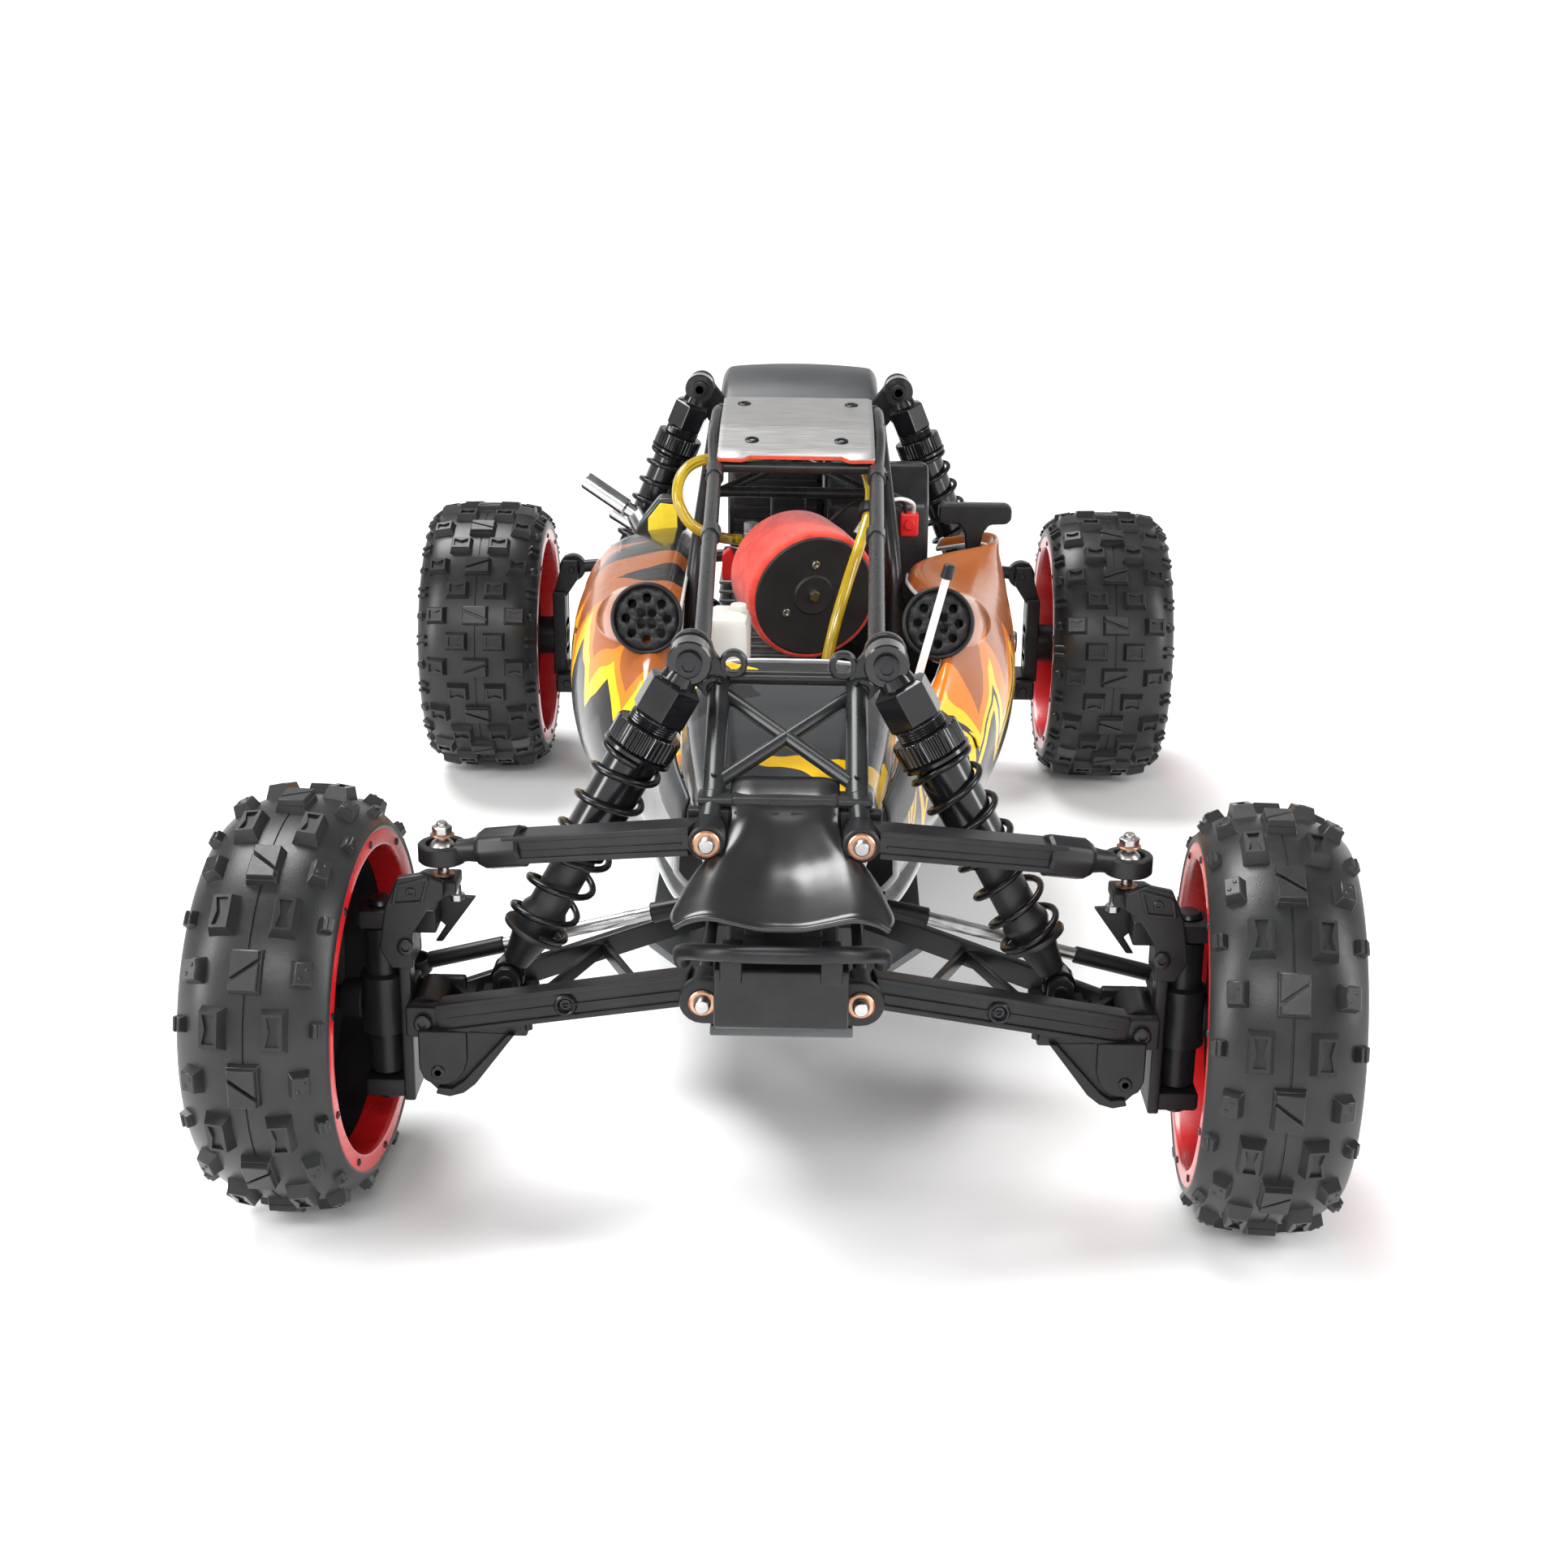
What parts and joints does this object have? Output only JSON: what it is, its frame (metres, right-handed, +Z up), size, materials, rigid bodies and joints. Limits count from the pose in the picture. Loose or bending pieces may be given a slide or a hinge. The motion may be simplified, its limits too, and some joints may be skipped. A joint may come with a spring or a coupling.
{
  "type": "rc buggy",
  "caption": "Large-scale petrol radio-controlled off-road buggy with a tubular roll cage, open front suspension, coil-over shocks and knobbly tyres.",
  "frame": {"origin": "centre of the bounding box's footprint, on the ground under the tyres", "axes": "-Y towards its front wheels, +X to the right as seen from its front, +Z up; node names say left and right as seen from the front"},
  "size_m": [0.466, 0.8195, 0.2613],
  "materials": {
    "chassis_alloy": "satin",
    "nylon": "satin",
    "cage_tube": "satin",
    "vacuum_black": "gloss",
    "roof_metal": "brushed",
    "hood_print": "gloss",
    "flame_print": "gloss",
    "wing_plastic": "satin",
    "engine_alloy": "cast",
    "shroud_plastic": "satin",
    "filter_foam": "foam",
    "tank_plastic": "satin",
    "fuel_hose": "translucent",
    "exhaust_steel": "polished",
    "bright_steel": "polished",
    "tyre_rubber": "satin",
    "rim_red": "gloss",
    "shock_black": "anodised",
    "spring_black": "coated"
  },
  "bodies": {
    "chassis": {"chassis_plate": "chassis_alloy", "front_bulkhead": "nylon", "front_bumper": "nylon", "nose_cover": "vacuum_black", "front_tower_frame": "cage_tube", "roll_cage": "cage_tube", "roof_plate": "roof_metal", "hood_panel": "hood_print", "side_panel_left": "flame_print", "side_panel_right": "flame_print", "rear_wing": "wing_plastic", "gearbox_housing": "nylon", "engine_block": "engine_alloy", "engine_shroud": "shroud_plastic", "air_filter": "filter_foam", "fuel_tank": "tank_plastic", "fuel_line": "fuel_hose", "receiver_box": "nylon", "exhaust_pipe": "exhaust_steel"},
    "steering_link": {"steering_link": "nylon"},
    "front_lower_arm_left": {"front_lower_arm_left": "nylon"},
    "front_upper_arm_left": {"front_upper_arm_left": "nylon"},
    "front_carrier_left": {"front_carrier_left": "nylon"},
    "front_shock_body_left": {"front_shock_body_left": "shock_black", "front_spring_left": "spring_black"},
    "front_shock_shaft_left": {"front_shock_shaft_left": "bright_steel"},
    "tie_rod_left": {"tie_rod_left": "bright_steel"},
    "front_knuckle_left": {"front_knuckle_left": "nylon"},
    "front_wheel_left": {"front_rim_left": "rim_red", "front_tyre_left": "tyre_rubber"},
    "rear_lower_arm_left": {"rear_lower_arm_left": "nylon"},
    "rear_upper_link_left": {"rear_upper_link_left": "nylon"},
    "rear_hub_left": {"rear_hub_left": "nylon"},
    "rear_shock_body_left": {"rear_shock_body_left": "shock_black", "rear_spring_left": "spring_black"},
    "rear_shock_shaft_left": {"rear_shock_shaft_left": "bright_steel"},
    "drive_shaft_left": {"drive_shaft_left": "bright_steel"},
    "rear_wheel_left": {"rear_rim_left": "rim_red", "rear_tyre_left": "tyre_rubber"},
    "front_lower_arm_right": {"front_lower_arm_right": "nylon"},
    "front_upper_arm_right": {"front_upper_arm_right": "nylon"},
    "front_carrier_right": {"front_carrier_right": "nylon"},
    "front_shock_body_right": {"front_shock_body_right": "shock_black", "front_spring_right": "spring_black"},
    "front_shock_shaft_right": {"front_shock_shaft_right": "bright_steel"},
    "tie_rod_right": {"tie_rod_right": "bright_steel"},
    "front_knuckle_right": {"front_knuckle_right": "nylon"},
    "front_wheel_right": {"front_rim_right": "rim_red", "front_tyre_right": "tyre_rubber"},
    "rear_lower_arm_right": {"rear_lower_arm_right": "nylon"},
    "rear_upper_link_right": {"rear_upper_link_right": "nylon"},
    "rear_hub_right": {"rear_hub_right": "nylon"},
    "rear_shock_body_right": {"rear_shock_body_right": "shock_black", "rear_spring_right": "spring_black"},
    "rear_shock_shaft_right": {"rear_shock_shaft_right": "bright_steel"},
    "drive_shaft_right": {"drive_shaft_right": "bright_steel"},
    "rear_wheel_right": {"rear_rim_right": "rim_red", "rear_tyre_right": "tyre_rubber"},
    "pull_handle": {"pull_handle": "nylon"},
    "fuel_cap": {"fuel_cap": "nylon"}
  },
  "joints": [
    {"name": "steering_slide", "type": "slide", "parent": "chassis", "child": "steering_link", "axis": [1, 0, 0], "range_m": [-0.0157, 0.0115]},
    {"name": "front_suspension_left", "type": "hinge", "parent": "chassis", "child": "front_lower_arm_left", "pos_m": [-0.0296, -0.3215, 0.108], "axis": [0, 1, 0], "range_deg": [0, 20], "stiffness_Nm_per_rad": 9, "springref_deg": -20.05},
    {"name": "front_upper_arm_swing_left", "type": "hinge", "parent": "chassis", "child": "front_upper_arm_left", "pos_m": [-0.0285, -0.3215, 0.169], "axis": [0, 1, 0], "range_deg": [0, 21.15]},
    {"name": "front_carrier_tilt_left", "type": "hinge", "parent": "front_lower_arm_left", "child": "front_carrier_left", "pos_m": [-0.14, -0.3215, 0.084], "axis": [0, 1, 0], "range_deg": [-20.05, 0]},
    {"name": "front_shock_swing_left", "type": "hinge", "parent": "chassis", "child": "front_shock_body_left", "pos_m": [-0.038, -0.301, 0.221], "axis": [0, 1, 0], "range_deg": [0, 6.68]},
    {"name": "front_shock_stroke_left", "type": "slide", "parent": "front_shock_body_left", "child": "front_shock_shaft_left", "axis": [0.488, 0.0746, 0.8696], "range_m": [0, 0.02394], "deforming": ["front_spring_left"]},
    {"name": "tie_rod_swing_left", "type": "hinge", "parent": "steering_link", "child": "tie_rod_left", "pos_m": [-0.03305, -0.2935, 0.1175], "axis": [0, 1, 0], "range_deg": [0, 18.43]},
    {"name": "steering_left", "type": "hinge", "parent": "front_carrier_left", "child": "front_knuckle_left", "pos_m": [-0.158, -0.3215, 0.085], "axis": [0, 0, 1], "range_deg": [-22, 30]},
    {"name": "front_spin_left", "type": "hinge", "parent": "front_knuckle_left", "child": "front_wheel_left", "pos_m": [-0.18942, -0.3193, 0.085], "axis": [0.9976, -0.0698, 0], "continuous": true},
    {"name": "rear_suspension_left", "type": "hinge", "parent": "chassis", "child": "rear_lower_arm_left", "pos_m": [-0.032, 0.2485, 0.072], "axis": [0, 1, 0], "range_deg": [0, 20], "stiffness_Nm_per_rad": 11, "springref_deg": -20.05},
    {"name": "rear_upper_link_swing_left", "type": "hinge", "parent": "chassis", "child": "rear_upper_link_left", "pos_m": [-0.038, 0.2485, 0.14], "axis": [0, 1, 0], "range_deg": [0, 21.66]},
    {"name": "rear_hub_tilt_left", "type": "hinge", "parent": "rear_lower_arm_left", "child": "rear_hub_left", "pos_m": [-0.146, 0.2485, 0.058], "axis": [0, 1, 0], "range_deg": [-20.05, 0]},
    {"name": "rear_shock_swing_left", "type": "hinge", "parent": "chassis", "child": "rear_shock_body_left", "pos_m": [-0.06, 0.214, 0.25], "axis": [0, 1, 0], "range_deg": [0, 2.33]},
    {"name": "rear_shock_stroke_left", "type": "slide", "parent": "rear_shock_body_left", "child": "rear_shock_shaft_left", "axis": [0.382, -0.0424, 0.9232], "range_m": [0, 0.03422], "deforming": ["rear_spring_left"]},
    {"name": "drive_shaft_swing_left", "type": "hinge", "parent": "chassis", "child": "drive_shaft_left", "pos_m": [-0.032, 0.2485, 0.088], "axis": [0, 1, 0], "range_deg": [0, 20.46]},
    {"name": "rear_spin_left", "type": "hinge", "parent": "rear_hub_left", "child": "rear_wheel_left", "pos_m": [-0.195, 0.2485, 0.085], "axis": [1, 0, 0], "continuous": true},
    {"name": "front_suspension_right", "type": "hinge", "parent": "chassis", "child": "front_lower_arm_right", "pos_m": [0.0296, -0.3215, 0.108], "axis": [0, -1, 0], "range_deg": [0, 20], "stiffness_Nm_per_rad": 9, "springref_deg": -20.05},
    {"name": "front_upper_arm_swing_right", "type": "hinge", "parent": "chassis", "child": "front_upper_arm_right", "pos_m": [0.0285, -0.3215, 0.169], "axis": [0, -1, 0], "range_deg": [0, 21.15]},
    {"name": "front_carrier_tilt_right", "type": "hinge", "parent": "front_lower_arm_right", "child": "front_carrier_right", "pos_m": [0.14, -0.3215, 0.084], "axis": [0, -1, 0], "range_deg": [-20.05, 0]},
    {"name": "front_shock_swing_right", "type": "hinge", "parent": "chassis", "child": "front_shock_body_right", "pos_m": [0.038, -0.301, 0.221], "axis": [0, -1, 0], "range_deg": [0, 6.68]},
    {"name": "front_shock_stroke_right", "type": "slide", "parent": "front_shock_body_right", "child": "front_shock_shaft_right", "axis": [-0.488, 0.0746, 0.8696], "range_m": [0, 0.02394], "deforming": ["front_spring_right"]},
    {"name": "tie_rod_swing_right", "type": "hinge", "parent": "steering_link", "child": "tie_rod_right", "pos_m": [0.03695, -0.2935, 0.1175], "axis": [0, -1, 0], "range_deg": [0, 18.43]},
    {"name": "steering_right", "type": "hinge", "parent": "front_carrier_right", "child": "front_knuckle_right", "pos_m": [0.158, -0.3215, 0.085], "axis": [0, 0, 1], "range_deg": [-22.05, 30.05]},
    {"name": "front_spin_right", "type": "hinge", "parent": "front_knuckle_right", "child": "front_wheel_right", "pos_m": [0.18942, -0.3237, 0.085], "axis": [0.9976, -0.0698, 0], "continuous": true},
    {"name": "rear_suspension_right", "type": "hinge", "parent": "chassis", "child": "rear_lower_arm_right", "pos_m": [0.032, 0.2485, 0.072], "axis": [0, -1, 0], "range_deg": [0, 20], "stiffness_Nm_per_rad": 11, "springref_deg": -20.05},
    {"name": "rear_upper_link_swing_right", "type": "hinge", "parent": "chassis", "child": "rear_upper_link_right", "pos_m": [0.038, 0.2485, 0.14], "axis": [0, -1, 0], "range_deg": [0, 21.66]},
    {"name": "rear_hub_tilt_right", "type": "hinge", "parent": "rear_lower_arm_right", "child": "rear_hub_right", "pos_m": [0.146, 0.2485, 0.058], "axis": [0, -1, 0], "range_deg": [-20.05, 0]},
    {"name": "rear_shock_swing_right", "type": "hinge", "parent": "chassis", "child": "rear_shock_body_right", "pos_m": [0.06, 0.214, 0.25], "axis": [0, -1, 0], "range_deg": [0, 2.33]},
    {"name": "rear_shock_stroke_right", "type": "slide", "parent": "rear_shock_body_right", "child": "rear_shock_shaft_right", "axis": [-0.382, -0.0424, 0.9232], "range_m": [0, 0.03422], "deforming": ["rear_spring_right"]},
    {"name": "drive_shaft_swing_right", "type": "hinge", "parent": "chassis", "child": "drive_shaft_right", "pos_m": [0.032, 0.2485, 0.088], "axis": [0, -1, 0], "range_deg": [0, 20.46]},
    {"name": "rear_spin_right", "type": "hinge", "parent": "rear_hub_right", "child": "rear_wheel_right", "pos_m": [0.195, 0.2485, 0.085], "axis": [1, 0, 0], "continuous": true},
    {"name": "pull_start", "type": "slide", "parent": "chassis", "child": "pull_handle", "axis": [0, 0, 1], "range_m": [0, 0.045], "stiffness_N_per_m": 40, "springref_m": -0.01},
    {"name": "fuel_cap_turn", "type": "hinge", "parent": "chassis", "child": "fuel_cap", "pos_m": [-0.039, -0.014, 0.1474], "axis": [0, 0, 1], "range_deg": [0, 270]}
  ],
  "couplings": [
    {"joint": "steering_slide", "follows": "steering_left", "m_per_rad": -0.02705},
    {"joint": "front_upper_arm_swing_left", "follows": "front_suspension_left", "ratio": 1.0552},
    {"joint": "front_carrier_tilt_left", "follows": "front_suspension_left", "ratio": -1},
    {"joint": "front_shock_swing_left", "follows": "front_suspension_left", "ratio": 0.33156},
    {"joint": "front_shock_stroke_left", "follows": "front_suspension_left", "m_per_rad": 0.068291},
    {"joint": "tie_rod_swing_left", "follows": "front_suspension_left", "ratio": 0.91885},
    {"joint": "rear_upper_link_swing_left", "follows": "rear_suspension_left", "ratio": 1.0804},
    {"joint": "rear_hub_tilt_left", "follows": "rear_suspension_left", "ratio": -1},
    {"joint": "rear_shock_swing_left", "follows": "rear_suspension_left", "ratio": 0.11424},
    {"joint": "rear_shock_stroke_left", "follows": "rear_suspension_left", "m_per_rad": 0.097739},
    {"joint": "drive_shaft_swing_left", "follows": "rear_suspension_left", "ratio": 1.0204},
    {"joint": "front_upper_arm_swing_right", "follows": "front_suspension_right", "ratio": 1.0552},
    {"joint": "front_carrier_tilt_right", "follows": "front_suspension_right", "ratio": -1},
    {"joint": "front_shock_swing_right", "follows": "front_suspension_right", "ratio": 0.33156},
    {"joint": "front_shock_stroke_right", "follows": "front_suspension_right", "m_per_rad": 0.068291},
    {"joint": "tie_rod_swing_right", "follows": "front_suspension_right", "ratio": 0.91885},
    {"joint": "steering_right", "follows": "steering_left", "ratio": 1},
    {"joint": "rear_upper_link_swing_right", "follows": "rear_suspension_right", "ratio": 1.0804},
    {"joint": "rear_hub_tilt_right", "follows": "rear_suspension_right", "ratio": -1},
    {"joint": "rear_shock_swing_right", "follows": "rear_suspension_right", "ratio": 0.11424},
    {"joint": "rear_shock_stroke_right", "follows": "rear_suspension_right", "m_per_rad": 0.097739},
    {"joint": "drive_shaft_swing_right", "follows": "rear_suspension_right", "ratio": 1.0204}
  ]
}
